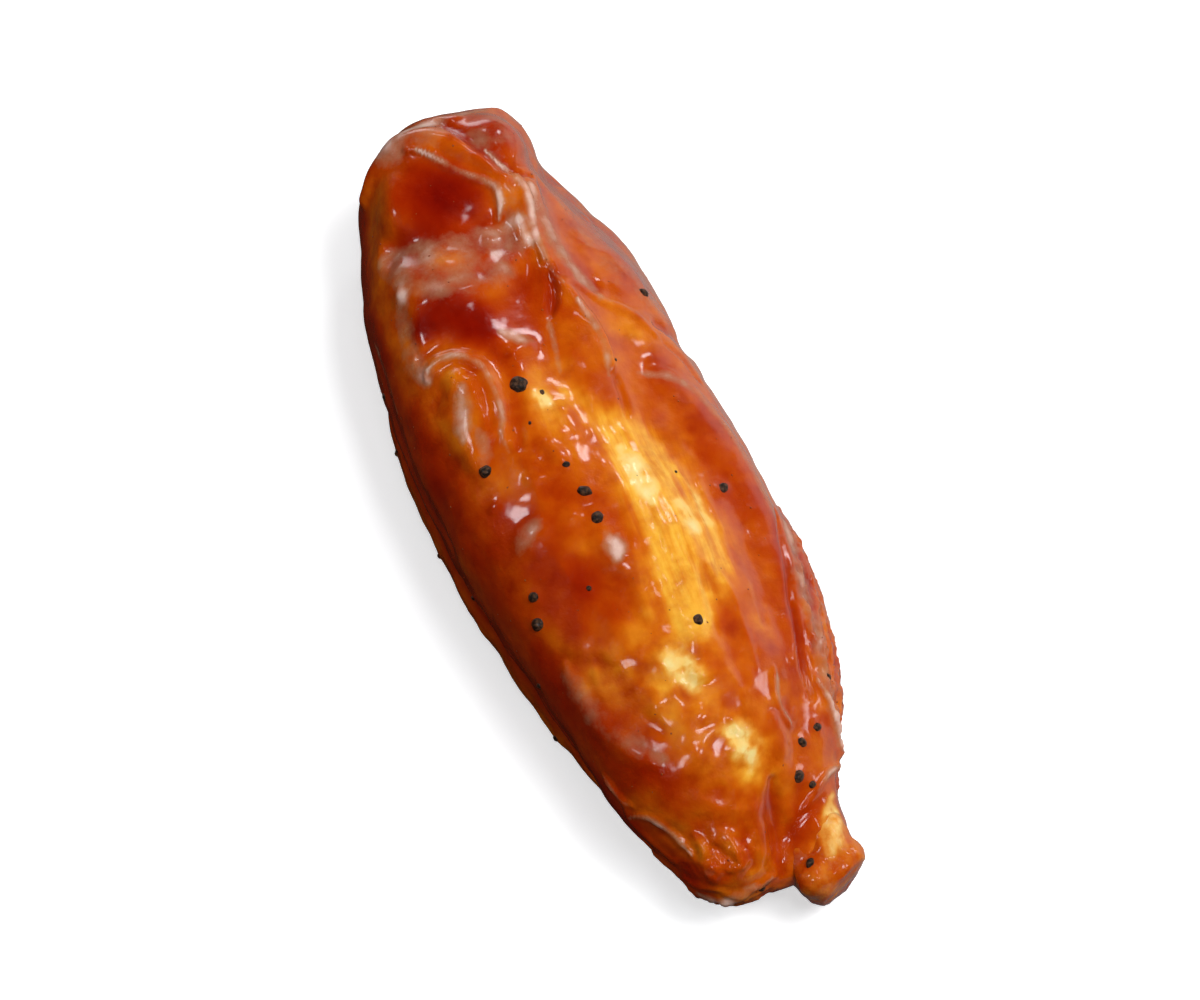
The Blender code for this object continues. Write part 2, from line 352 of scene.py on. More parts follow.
# Crisp edges and creases, drawn once the sauce has evened out the rest.
fineStrokes = [
    # a lip of sauce low on the wrist side
    ([(-10.8, -29), (-10, -31.8), (-9.3, -33.4)], 0.7, 0.2),
    ([(-9.4, -34), (-8.2, -35.4), (-6.8, -37.6), (-5.4, -40.2)], 0.8, 0.3),
    # the pool's rim, the crest's edge and the notch beside it
    ([(-6.4, 41.8), (-4.6, 40.6), (-3.6, 38.8), (-1.3, 36.2), (0.3, 34.4), (0.5, 32.6), (-0.2, 30.7)],
     0.8, 0.36),
    ([(2.4, 36.4), (3.3, 34.1), (3.2, 31.6), (2.8, 29.4), (2.7, 26.9), (2.8, 23.9), (2.9, 21.8),
      (3.7, 20.1), (4.3, 17.7), (4.9, 15.7), (5.1, 13.2), (4.7, 10.3)], 0.8, 0.36),
    ([(2.6, 23.4), (2.4, 21.6), (1.8, 19.8), (0.9, 18.2)], 1, -0.5),
    ([(4.7, 9.4), (4.6, 7.1), (4.2, 4.6)], 0.6, -0.35),
    # the edge of the sheet that the skin fan ends under
    ([(3.8, 21.4), (5.2, 20.4), (6.8, 18.8), (8.5, 17.6), (10, 15.9), (11, 13.6)], 0.7, 0.25),
    ([(11.6, 13), (13, 10.8), (13.8, 8)], 0.6, -0.3),
    # the curl's outer edge
    ([(-13.6, 16), (-13.2, 16.6), (-11.9, 17.1), (-10, 16.7), (-8.4, 14.9), (-7.9, 12.6), (-7.9, 10.3),
      (-8.2, 7.9), (-8.9, 5.6)], 0.9, 0.26),
    ([(-10.2, 15.6), (-9, 13.8), (-8.9, 12), (-9, 10), (-9.5, 7.6)], 1, -0.14),
    # small swellings that catch the light
    ([(-4.4, 15), (-2.8, 15.4)], 1.3, 0.28),
    ([(-2.1, 7.2)], 1.2, 0.16),
    ([(-3, 4.2)], 1.2, 0.16),
    ([(-6.5, 2.7)], 1.1, 0.18),
    ([(-4.9, 3.4), (-4.3, 1.6)], 1.2, 0.26),
    ([(-2.6, -8.2), (-2.4, -11)], 2, 0.1),
    ([(-10.6, -5.2), (-8.8, -4.8)], 2, 0.1),
    ([(-12.2, -0.5)], 1.1, 0.18),
    ([(0.3, -24.4), (1, -25.6)], 1, 0.24),
    ([(2.4, -30.4), (3, -31.6)], 1, 0.24),
    # fine lines along the slab and its streak
    ([(0.6, 10), (1.4, 3.6), (0.9, -0.6), (0.3, -6), (-0.8, -11)], 0.7, 0.08),
    ([(2.8, 3), (2.6, -5), (1.8, -12)], 0.6, -0.10),
    ([(7, -2), (7.3, -8), (6.6, -14)], 0.6, 0.14),
    ([(8.8, -4), (9.2, -9), (8.6, -14)], 0.6, 0.12),
    ([(4.2, -12), (4.6, -17), (4.2, -22)], 0.6, -0.12),
    ([(7, -15), (7.4, -20), (6.8, -26)], 0.6, 0.12),
    # the gap inside the loose skin and the sheen's edge above the wrist
    ([(16, -8), (14.7, -13), (13.2, -18.8), (12.1, -24.6), (11.8, -29)], 0.8, -0.6),
    ([(8.5, -26), (7.7, -29), (8.1, -31.8)], 0.7, 0.25),
    # the skin's last edge above the bone, and the rim of the saddle
    ([(13, -27.3), (13.4, -30.2), (13.2, -32.7), (12.4, -35), (10.7, -36.4), (8.9, -37.9), (7, -39.2)],
     0.7, 0.25),
    ("wrist", [(-4.6, 6.6), (-2.2, 7.6), (0.2, 8.3), (1.9, 8)], 0.8, 0.3),
    # the wrist's wrinkles
    ("wrist", [(-6.4, 7.4), (-4.4, 8.6), (-2.4, 8), (-0.4, 8.8)], 0.8, 0.3),
    ("wrist", [(-4.6, 5.2), (-2.4, 6.2), (0, 6.4)], 0.8, -0.3),
    ([(-4.9, -38.8), (-4.5, -40), (-4.4, -41)], 0.8, 0.2),
    ([(-3.4, -40.8), (-2.6, -42), (-1.6, -43)], 0.8, -0.2),
    ([(0, -38.4), (-0.4, -40.2)], 0.9, 0.15),
    ([(-10.8, -29.4), (-9.9, -32.1), (-9.3, -35.6), (-7.8, -38.2), (-6.2, -40.1)], 0.7, 0.22),
    ("left", [(-8, 9.6), (-16, 9.2), (-24, 9)], 0.8, 0.2),
]

# Where the sauce lies thicker or thinner than elsewhere, from 0, bare, to 1, deep; along the left side and
# below the lip on the wrist side it is also deepened as painted shade.
sauceAndShadePaint = [
    ([(-8.8, 37), (-6, 36.2), (-3.2, 34.6)], 5.8, 0.36, 0.7),
    ([(-5.6, 36), (-2.6, 33.8)], 3.4, 0.30),
    ([(-9.4, 34.4), (-5.8, 33.2)], 2.8, 0.24),
    ([(-10.6, 33), (-7.4, 31.6), (-4, 31), (-1.4, 31.4)], 2.4, 0.36),
    ([(-10, 42.6), (-3, 43.6), (0.6, 41), (1.6, 36.6)], 4, 0.22),
    ([(3.9, 31), (3.8, 28), (4.3, 25), (5, 22.6), (6.6, 20.6)], 2.6, 0.16),
    ([(3.2, 40.8)], 4.6, 0.30),
    ([(-8.6, 44.6), (-11, 42.2), (-12.8, 38.8), (-15.2, 32), (-16, 27), (-16.2, 21)], 3, 0.3),
    ("left", [(45, 12), (40, 12), (35, 10)], 4, 0.26),
    ([(-4.2, 13.8)], 2.6, 0.16),
    ([(-14.2, 34.6), (-14.8, 31)], 2.4, 0.06),
    ("left", [(36, 13), (30, 12), (24, 12)], 4, 0.22),
    ("left", [(27, 14.4), (18, 14.4), (8, 14.6), (0, 14)], 3.6, 0.26),
    # deeper low on the left side and below the lip: partly painted shadow
    ("left", [(-28, 10), (-36, 9), (-43, 7)], 4, 0.3),
    ([(-10.4, -34.4), (-8.6, -37.6), (-6.2, -41), (-3.4, -43.6)], 2.4, 0.26),
    ([(-11.4, 30.4), (-7.4, 27.4), (-3.8, 26.6), (-0.8, 27.4)], 4.2, 0.34, 0.6),
    ([(-7.6, 28), (-6, 27.4)], 2.8, -0.42),
    ([(-12.2, 21.4), (-9.6, 22), (-7.6, 20.4), (-6.4, 18.4)], 3.6, 0.66, 0.7),
    ([(-3.2, 19.4), (-0.6, 21)], 2.8, 0.2),
    ([(2.6, 22.6), (2.1, 20.7), (1.1, 18.7)], 1.1, 0.5),
    ([(-3, 11.6), (-3.8, 9), (-1.8, 6), (-0.6, 9.6)], 4, -0.20, 0.9),
    ([(-4.6, 17.6), (-2.6, 17)], 3, 0.16),
    ([(-9.4, 14.6), (-9, 12), (-9.4, 9), (-10.2, 5.6)], 1.3, 0.18),
    ([(-11.4, 14.9)], 1.3, -0.16),
    ([(-14, 10.8)], 1.5, -0.08),
    ([(-13.2, 7.4)], 1.4, -0.06),
    ([(-8.6, 18.6), (-5.6, 16), (-5.4, 11), (-6.4, 7)], 1.8, 0.2),
    ([(-12.4, -1), (-9.8, -9), (-9.2, -16)], 5, 0.28, 0.9),
    ([(-6.4, -1), (-5, -5)], 4, 0.12),
    ([(-6.6, -12), (-5.2, -15.6)], 3.2, 0.26),
    ([(-1.2, -14.6), (-3.2, -18.6), (-6.4, -21), (-9.8, -21.6)], 2.8, -0.16),
    ([(7.8, 15.6), (9.2, 13)], 2.6, -0.24),
    ([(-0.4, 12.4), (0.4, 8), (1.4, 4)], 2.6, -0.16),
    ([(9, 8), (11.4, 5)], 3.4, 0.10),
    ([(3, 3.4), (4.8, -2.6), (5.2, -8), (4.6, -13), (2.4, -19)], 6.6, -0.34, 0.5),
    ([(2.4, 0.6), (3, -5), (2.6, -11), (1.4, -16)], 3.4, -0.10, 0.9),
    ([(6.6, -4), (7.6, -8), (7.2, -12)], 2.2, -0.06),
    ([(0.4, -20), (-0.4, -25), (1.2, -30), (2.2, -36)], 7.6, -0.08, 0.9),
    ([(-0.8, -22.6), (0.2, -26.6)], 3, -0.22),
    ([(2.4, -31), (3.4, -34.6)], 3, -0.24),
    ([(-3.6, -24.6)], 2.6, -0.10),
    ([(5.2, -15.6), (5.6, -19.4), (5.2, -24), (4.6, -28)], 1.7, 0.02),
    ([(15.4, -8), (14, -14), (12.6, -21), (12, -27)], 0.9, 0.35),
    ([(-5.4, -34), (-2.6, -38)], 3.2, 0.12),
    ([(-5, -39), (-2.8, -40.6), (-2.6, -43)], 2.2, 0.10),
    ([(2.2, -38), (2, -42)], 2, 0.10),
    ([(-4.2, -40.6)], 1.8, -0.04),
    ([(6, -41), (8, -39)], 2.2, 0.10),
    ([(-9.4, -24.6), (-7.6, -29), (-5, -33.4)], 4, 0.22),
    ([(9.6, 31), (10.8, 26), (11.4, 20.5)], 4.4, 0.14),
    ([(-12.6, -15), (-11, -23), (-8.8, -30), (-5.6, -35.4)], 3.6, 0.12),
    ([(-15.8, 14), (-15.4, 2), (-14.2, -9), (-12.4, -20), (-9.6, -31)], 4.2, 0.32),
    ([(12.4, 4), (14, -4), (13.6, -12), (12.2, -20), (10.2, -28)], 3, 0.16),
    ([(9, 13), (10.8, 8), (11.6, 3), (11.4, -3), (10.6, -9)], 2.6, 0.10),
    ([(16.6, -9), (15.4, -16), (14.6, -22), (13.8, -29)], 2.2, 0.12),
    # deeper all along the left side: partly painted shade
    ("left", [(34, 9), (10, 9), (-10, 9), (-34, 8)], 6, 0.44, 0.9),
    ("under", [(0, 30), (2, 10), (0, -10), (2, -30)], 9, 0.16),
]

# Where the butterfat in the sauce has set to a dull, whitish film, and where painted highlights and sheens
# lie: along the pool's rim, the crest and its valley, the curl, the elbow's outer band, the swellings and
# the wrist's lower edge.
milkAndSheenPaint = [
    ([(-10.8, -29), (-10, -31.8), (-9.3, -33.4)], 0.5, 0.9),
    ([(-9.6, -33.8), (-8.2, -35.4), (-6.8, -37.6), (-5.4, -40.2)], 0.65, 1.5),
    ([(-16.3, 25), (-16.7, 21), (-16.9, 16)], 0.8, 0.9),
    ([(-12.4, 30.8), (-9.6, 28), (-6.6, 26.8), (-3.4, 26.8), (0.8, 28.4)], 5.2, 0.85, 0.5),
    ([(-9.6, 42.8), (-5.6, 43), (-1.6, 42)], 3.4, 0.95),
    ([(0.2, 41), (1.2, 37.6), (1.4, 33.6), (1, 30)], 2.6, 0.46),
    ([(3.6, 40.6)], 4.4, 0.75),
    ("elbow", [(-8, 14), (0, 14), (5, 12)], 5, 0.7),
    # painted highlights on swellings of the left half, above the hollow and on the curl
    ([(-2.7, -8.4), (-2.4, -9.8), (-2.7, -11.2)], 2, 1.25),
    ([(-10.8, -5.4), (-9.4, -4.6)], 1.9, 0.95),
    ([(-4.8, 17.6), (-3.6, 16.4), (-2.2, 15.6)], 1.7, 1.15),
    ([(-10.6, 12.8), (-11.3, 11.1), (-11.9, 9.4), (-12.3, 7.6)], 1.8, 1.15),
    ([(-12.6, 26), (-13.4, 23.4), (-14, 20.6), (-14.1, 18), (-13.6, 16)], 2.3, 0.85),
    ([(-13.4, 16.2)], 2.2, 0.5),
    ([(-13, 16.7), (-11.9, 17.1), (-10, 16.7), (-8.4, 14.9), (-7.9, 12.6), (-7.9, 10.3), (-8.2, 7.9),
      (-8.9, 6.3), (-8.9, 4.3)], 0.7, 1.1),
    ([(-10.8, 7.6), (-10.9, 5.6), (-11.6, 3.9)], 1.5, 0.8),
    # painted sheen on the elbow's outer band, and painted highlight lines on the pool's rim and the crest
    ([(-13.6, 38.4), (-12.2, 41.4), (-9.6, 43.7), (-6, 44.2), (-1.9, 44.8), (2.9, 45.2)], 2.2, 1),
    ([(-5.4, 41.2), (-3.6, 38.9), (-1.3, 36.2), (0.3, 34.4), (0.5, 32.6), (-0.2, 30.7)], 0.6, 1.5),
    ([(4.3, 33.6), (4.2, 29), (4.5, 25.4), (5.3, 22.4), (6.7, 19.4)], 1.9, 1.2),
    ([(1, 38.6), (2.4, 35.8), (3.2, 33), (2.9, 29.4), (2.7, 26.4), (2.9, 23), (3.3, 21)], 0.55, 1.2),
    ([(1.9, 30.4), (1.8, 28.2), (2.1, 26.2)], 0.8, 0.8),
    ([(3.9, 18.8), (4.5, 15.6), (4.6, 12.6), (4.1, 9.6)], 0.7, 1.2),
    ([(0.5, 18), (0.1, 15), (-0.6, 11.4)], 0.7, 0.8),
    ([(8.6, 30), (10, 25), (11.4, 19)], 4.8, 0.5, 0.8),
    ([(7.4, 9.6), (11.4, 7.6), (13.8, 2), (15, -5), (15.4, -11)], 1.1, 0.8),
    ([(8.6, -26.6), (7.9, -29.2), (8.3, -31.4)], 0.8, 1.2),
    ([(-11.2, -19), (-10, -24), (-8.2, -28), (-5.6, -31.4)], 2.6, 0.65, 0.9),
    ([(16.6, -9), (15.4, -16), (14.6, -22), (13.8, -29), (13, -33)], 2.2, 1),
    ([(13, -27.3), (13.4, -30.2), (13.2, -32.7), (12.4, -35), (10.7, -36.4), (8.9, -37.9)], 0.6, 1.2),
    ("wrist", [(-5, 5.4), (-2, 7.4), (1.4, 8.2)], 0.8, 1.2),
    ("wrist", [(-5.4, 7), (-4.1, 6.4), (-2.9, 7.5), (-1.7, 8.3), (-0.6, 8.7)], 1.3, 1.3),
    ([(-6.8, 28.3), (-6, 27.3)], 1.7, -0.2),
    ([(-6.4, -41), (-4.4, -42.4)], 1.1, 0.9),
]

# Where cartilage shows through the sauce in whitish yellow, and painted highlights in that colour along
# the slab, on the round end's swellings and beside the bone; and the loose skin that crinkles.
paleAndHighlightPaint = [
    ([(2.3, 0.8), (2.7, -2.4), (3.1, -6)], 1.8, 0.6),
    ([(5.6, -7.2), (5.9, -10)], 1.5, 0.5),
    ([(7.6, -5.2), (7.9, -8.8)], 1.3, 0.35),
    ([(-1.6, -22.8), (-0.2, -24.4), (-0.2, -26.4)], 2.4, 0.55),
    ([(1.2, -31.4), (2.8, -32.6), (2.8, -34.8)], 2.6, 0.55),
    ([(-3.6, 8.6)], 2.2, 0.35),
    ([(10.6, -38.4), (9.6, -40.6), (8.6, -42.6)], 1.5, 1),
]
crinklePaint = [
    ([(17.8, -8), (16.2, -15), (15, -22), (14.4, -28), (13.2, -34)], 2.2, 1.2, 0.5),
    ("right", [(-6, 9), (-15, 9), (-25, 8), (-36, 6.6)], 3.6, 1, 0.6),
    ([(-6.4, -40.2), (-3.6, -42.2), (-0.4, -42)], 3, 0.55, 0.6),
    ("wrist", [(-6, 5), (-2.4, 6), (1, 6.4)], 3.4, 0.5, 0.6),
]


def solidCopy(node):
    copy = bmesh.new()
    copy.from_mesh(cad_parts[node].data)
    bmesh.ops.remove_doubles(copy, verts=copy.verts, dist=0.001 * mm)
    copy.normal_update()
    return copy


def makeBase():  # the meat without its bone channel, smooth and dense
    plug = solidCopy("wing_bone")
    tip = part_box("wing_bone")[0].y
    gone, whole = (tip + reach * mm for reach in skin["sleeve"])
    for vertex in plug.verts:
        ragged = skin["sleeveRagged"] * noise.noise(vertex.co * 400)
        growth = skin["sleeveGrowth"] * float(ease(gone, whole, vertex.co.y))
        vertex.co += vertex.normal * (skin["sleeveDepth"] + growth + ragged) * mm
    for vertex in plug.verts:
        vertex.co.y = max(vertex.co.y, gone)
    plug.from_mesh(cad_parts["wing_meat"].data)
    for centre, radii in skin["web"]:
        blob = Matrix.LocRotScale(Vector(centre) * mm, None, Vector(radii) * mm)
        bmesh.ops.create_icosphere(plug, subdivisions=3, radius=1.0, matrix=blob)
    piece = pieceFrom("wing_skin", plug)
    remeshed(piece, skin["voxel"], skin["smoothing"])
    return piece


# Here and below, place holds the skin's points before it is shaped, which is where the noise is
# read, and ways holds the smooth normals along which it is pushed.
def shapeForm(mesh, edges, surface, place, ways):
    pushOut(mesh, strokeField(place, surface, formStrokes), ways)
    for size, height in skin["lumps"]:
        pushOut(mesh, height * cloud(place, size, 2, shift=size), ways)
    points = pointsOf(mesh)
    for line, reach, height, slope in levels:
        hits = onSurface(surface, "top", smoothLine(line))
        inside = 1 - ease(skin["levelEdge"], 1.0, nearLine(place, hits)[0] / reach)
        level = height + slope * (points[:, 1] - hits[:, 1].mean())
        points[:, 2] += skin["levelled"] * inside * (level - points[:, 2])
    calm = np.clip(strokeField(place, surface, settled), 0, 1)[:, None]
    setPoints(mesh, points * (1 - calm) + spread(points, edges, skin["settling"]) * calm)


sauceLayer = {
    "depth": 0.42,  # where nothing is painted
    "evening": 12,  # rounds that even out what is painted
    "thin": (0.2, 0.6),  # the depths at which it counts as quite thin, and not at all
    "bare": (0.12, 0.55),  # the same for skin that shows its grain
    "blotches": ((5.0, 0.12, 3, 3.1), (1.8, 0.07, 3, 8.2)),  # size, height, octaves and shift
    "grain": 0.13,  # its streaks along the slab
    "grainLook": {"size": 1.3, "octaves": 3, "shift": 14.0, "stretch": (1, 7, 1)},
    "mottling": 0.06,  # its unevenness where it is thin elsewhere
    "mottlingLook": {"size": 2.4, "octaves": 4, "shift": 17.0},
    "lowerPart": (-16, -24),  # where along Y that grows, down to the round end of the muscle
    "lowerMottling": 0.16,
    "amongCrinkles": (0.02, 0.25),  # what it gains in the loose skin, and loses on its crinkles
    "hollowRounds": (26, 137),  # the evening out that finds small hollows, and wide valleys
    "gathers": (0.5, 0.12),  # how much deeper it is for each mm of those
    "hollows": (-0.04, 0.15),  # the least and most of that, in mm
    "valleys": (-0.4, 0.8),
    "range": (0.03, 1.4),
    "fills": (0.1, 0.7),  # the depths at which it begins to fill a small hollow, and fills it
    "body": (0.10, 0.35),  # thickness in mm of the barest film, and what a depth of 1 adds
    "runs": (0.3, 0.8),  # the depths at which its surface begins to run even, and does
    "evenness": 0.8,
    "smoothing": (4, 6),  # rounds for its thickness, and for that even surface
    "ripples": ((1.2, 0.02, 3, 6.0), (3.0, 0.05, 2, 4.0)),
}


def laySauce(edges, surface, place):  # its depth over the skin, and where the slab's grain shows
    painted = spread(strokeField(place, surface, sauceAndShadePaint), edges, sauceLayer["evening"])
    sauce = sauceLayer["depth"] + painted
    thin = 1 - ease(*sauceLayer["thin"], sauce)
    sauce += clouds(place, sauceLayer["blotches"])
    wristEnd, elbowEnd = skin["slab"]
    grained = ease(*wristEnd, place[:, 1]) * ease(*elbowEnd, place[:, 1])
    sauce += thin * grained * sauceLayer["grain"] * cloud(place, **sauceLayer["grainLook"])
    lower = ease(*sauceLayer["lowerPart"], place[:, 1])
    mottling = sauceLayer["mottling"] + sauceLayer["lowerMottling"] * lower
    sauce += thin * (1 - grained) * mottling * cloud(place, **sauceLayer["mottlingLook"])
    return sauce, grained


def grainSkin(mesh, surface, place, ways, sauce, grained):  # its pores, fibres and crinkles
    bare = 1 - ease(*sauceLayer["bare"], sauce)
    pores = 1 - ease(0.0, 0.6, cells(place, *skin["pores"]))
    fibres = cloud(place, **skin["fibreLook"])
    pushOut(mesh, bare * (skin["goosebumps"] * pores + skin["fibres"] * grained * fibres), ways)
    loose = np.clip(strokeField(place, surface, crinklePaint), 0, 1)
    crinkles = cloud(place, **skin["crinkleLook"])
    pushOut(mesh, loose * skin["crinkles"] * (0.5 - np.abs(crinkles) * 2), ways)
    gains, loses = sauceLayer["amongCrinkles"]
    return sauce + loose * (gains - loses * crinkles), bare, loose


def coverInSauce(mesh, edges, surface, place, ways, sauce, loose):
    points, normals = pointsOf(mesh), normalsOf(mesh)
    hollow, valley = (np.sum((spread(points, edges, rounds) - points) * normals, axis=1)
                      for rounds in sauceLayer["hollowRounds"])
    inHollows, inValleys = sauceLayer["gathers"]
    gathered = inHollows * np.clip(hollow, *sauceLayer["hollows"])
    gathered += inValleys * np.clip(valley, *sauceLayer["valleys"])
    sauce = np.clip(sauce + gathered, *sauceLayer["range"])
    fill = np.clip(hollow, 0, None) * ease(*sauceLayer["fills"], sauce)
    least, deeper = sauceLayer["body"]
    filmRounds, evenRounds = sauceLayer["smoothing"]
    pushOut(mesh, spread(least + deeper * sauce + fill, edges, filmRounds), ways)

    points = pointsOf(mesh)
    smooth = spread(points, edges, evenRounds)
    evened = (sauceLayer["evenness"] * ease(*sauceLayer["runs"], sauce) * (1 - loose))[:, None]
    setPoints(mesh, points * (1 - evened) + smooth * evened)
    fine = strokeField(place, surface, fineStrokes) + clouds(place, sauceLayer["ripples"])
    pushOut(mesh, fine, softNormals(mesh, edges, filmRounds))
    points = pointsOf(mesh)
    points[:, 2] = np.maximum(points[:, 2], 0)
    setPoints(mesh, points)
    return sauce


def uneven(place, size, middle, swing, octaves, shift):
    return middle + swing * cloud(place, size, octaves, shift)


def makeSkin():
    piece = makeBase()
    mesh = piece.data
    edges = edgesOf(mesh)
    pushOut(mesh, np.full(len(mesh.vertices), -skin["inset"]))
    surface = surfaceOf(mesh)
    place = pointsOf(mesh)
    ways = softNormals(mesh, edges, skin["evenWays"])
    shapeForm(mesh, edges, surface, place, ways)
    print("form drawn")
    sauce, grained = laySauce(edges, surface, place)
    sauce, bare, loose = grainSkin(mesh, surface, place, ways, sauce, grained)
    sauce = coverInSauce(mesh, edges, surface, place, ways, sauce, loose)
    setAttribute(mesh, "sauce", sauce)
    setAttribute(mesh, "grained", bare * grained)
    # the set-butterfat film with the painted highlights and sheens
    milkAndSheen = strokeField(place, surface, milkAndSheenPaint) * uneven(place, *skin["filmUneven"])
    setAttribute(mesh, "milkAndSheen", np.clip(milkAndSheen, 0, 1.6))
    # cartilage showing through, and painted highlights
    paleAndHighlight = strokeField(place, surface, paleAndHighlightPaint) * uneven(place, *skin["gristleUneven"])
    setAttribute(mesh, "paleAndHighlight", np.clip(paleAndHighlight, 0, 1))
    triangles = sum(len(face.vertices) - 2 for face in mesh.polygons)
    print("skin:", len(mesh.vertices), "points,", triangles, "triangles")
    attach(piece, "root")
    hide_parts("wing_meat")
    return piece


wingSkin = makeSkin()


def feed(tree, node, inputs):  # each with a fixed value, or with what another node puts out
    for name, value in inputs.items():
        if isinstance(value, (int, float, tuple)):
            node.inputs[name].default_value = value
        else:
            tree.links.new(value, node.inputs[name])
    return node


def addNode(tree, kind, inputs=None, **settings):
    node = tree.nodes.new("ShaderNode" + kind)
    for name, value in settings.items():
        setattr(node, name, value)
    return feed(tree, node, inputs or {})


def mathNode(tree, operation, *values):
    return addNode(tree, "Math", dict(enumerate(values)), operation=operation).outputs[0]


def rangeNode(tree, value, low, high, toLow=0.0, toHigh=1.0, smooth=True):
    inputs = {"Value": value, "From Min": low, "From Max": high, "To Min": toLow, "To Max": toHigh}
    kind = "SMOOTHSTEP" if smooth else "LINEAR"
    return addNode(tree, "MapRange", inputs, interpolation_type=kind).outputs["Result"]


def mixColour(tree, factor, first, second, blend="MIX"):
    inputs = {0: factor, 6: first, 7: second}  # the factor and the two colours of a colour mix
    return addNode(tree, "Mix", inputs, data_type="RGBA", blend_type=blend).outputs[2]


def noiseNode(tree, place, size, detail=3.0, roughness=0.55, stretch=None):  # size in mm
    if stretch:
        place = addNode(tree, "Mapping", {"Vector": place, "Scale": stretch}).outputs[0]
    inputs = {"Vector": place, "Scale": 1 / (size * mm), "Detail": detail, "Roughness": roughness}
    return addNode(tree, "TexNoise", inputs).outputs["Fac"]


def newMaterial(name):
    material = bpy.data.materials.new(name)
    material.use_nodes = True
    return material, material.node_tree


def objectPlace(tree):
    return addNode(tree, "TexCoord").outputs["Object"]


def readAttribute(tree, name):
    return addNode(tree, "Attribute", attribute_name=name).outputs["Fac"]


sauceFilm = {
    "clears": (1.25, 4.2, 9.0),  # how fast a deepening sauce takes up red, green and blue
    "Roughness": (0.7, 0.22, 0.14),  # the depth from which it stays, its value when bare, and deep
    "Gloss": (0.5, 0.4, 0.85),  # the same for the coat
}


def makeSauceFilm():  # what lies under the sauce, seen through it
    tree = bpy.data.node_groups.new("sauceFilm", "ShaderNodeTree")
    for name, way, kind in (("Under", "INPUT", "Color"), ("Depth", "INPUT", "Float"),
                            ("Colour", "OUTPUT", "Color"), ("Roughness", "OUTPUT", "Float"),
                            ("Gloss", "OUTPUT", "Float")):
        tree.interface.new_socket(name, in_out=way, socket_type="NodeSocket" + kind)
    given = tree.nodes.new("NodeGroupInput").outputs
    made = tree.nodes.new("NodeGroupOutput")
    passed = addNode(tree, "CombineColor")
    for index, rate in enumerate(sauceFilm["clears"]):
        loss = mathNode(tree, "MULTIPLY", given["Depth"], -rate)
        feed(tree, passed, {index: mathNode(tree, "EXPONENT", loss)})
    feed(tree, made, {"Colour": mixColour(tree, 1.0, given["Under"], passed.outputs[0], "MULTIPLY")})
    for name in ("Roughness", "Gloss"):
        deep, whenBare, whenDeep = sauceFilm[name]
        value = rangeNode(tree, given["Depth"], 0.0, deep, whenBare, whenDeep, smooth=False)
        feed(tree, made, {name: value})
    return tree


filmGroup = makeSauceFilm()

glazedSkin = {
    "fried": (0.98, 0.51, 0.055, 1),
    "browned": (0.74, 0.26, 0.025, 1),
    "gristleAndHighlight": (0.95, 0.74, 0.30, 1),
    "blotches": (3.4, 0.45, 0.80),  # their size in mm, and where browned begins and is full
    "grain": (1.0, -0.04, 0.04),  # its size in mm, and what it takes from the sauce and adds
    "streaks": (0.6, -0.05, 0.09),  # the same along the slab
    "gristleThins": 0.3,
    "coatRoughness": 0.09,
    "subsurface": 0.12,
}
# The set-butterfat film and the painted highlights and sheens laid with it: its thin colour where little
# is painted, turning to the whitish paintedHighlight colour for painted highlight lines.
butterAndSheen = {
    "thin": (0.42, 0.265, 0.14, 1),
    "paintedHighlight": (0.82, 0.58, 0.48, 1),
    "turnsToHighlight": (0.7, 1.5),
    "begins": 0.95,  # how much is painted where it begins, less its raggedness
    "raggedness": 1.3,
    "raggedSize": 1.6,  # mm
    "covers": (1.3, 0.88),  # how much beyond that makes it whole, and how much it hides then
    "roughens": 0.3,
    "dulls": 0.8,  # the share of the coat that it takes away
}
glaze = {  # what the sauced skin and bone share
    "coatIor": 1.5,
    "specular": 0.15,
    "scatterRadius": (1.0, 0.25, 0.08),
    "scatterScale": 2.0,  # mm
    "bumpSize": 1.1,  # mm
    "bumpHeight": 0.14,  # mm
    "bumpStrength": 0.8,
}


def thickerThinner(tree, place, size, low, high, detail=4.0, stretch=None):  # added to the sauce's depth
    grain = noiseNode(tree, place, size, detail, 0.6, stretch)
    return rangeNode(tree, grain, 0.25, 0.75, low, high, smooth=False)


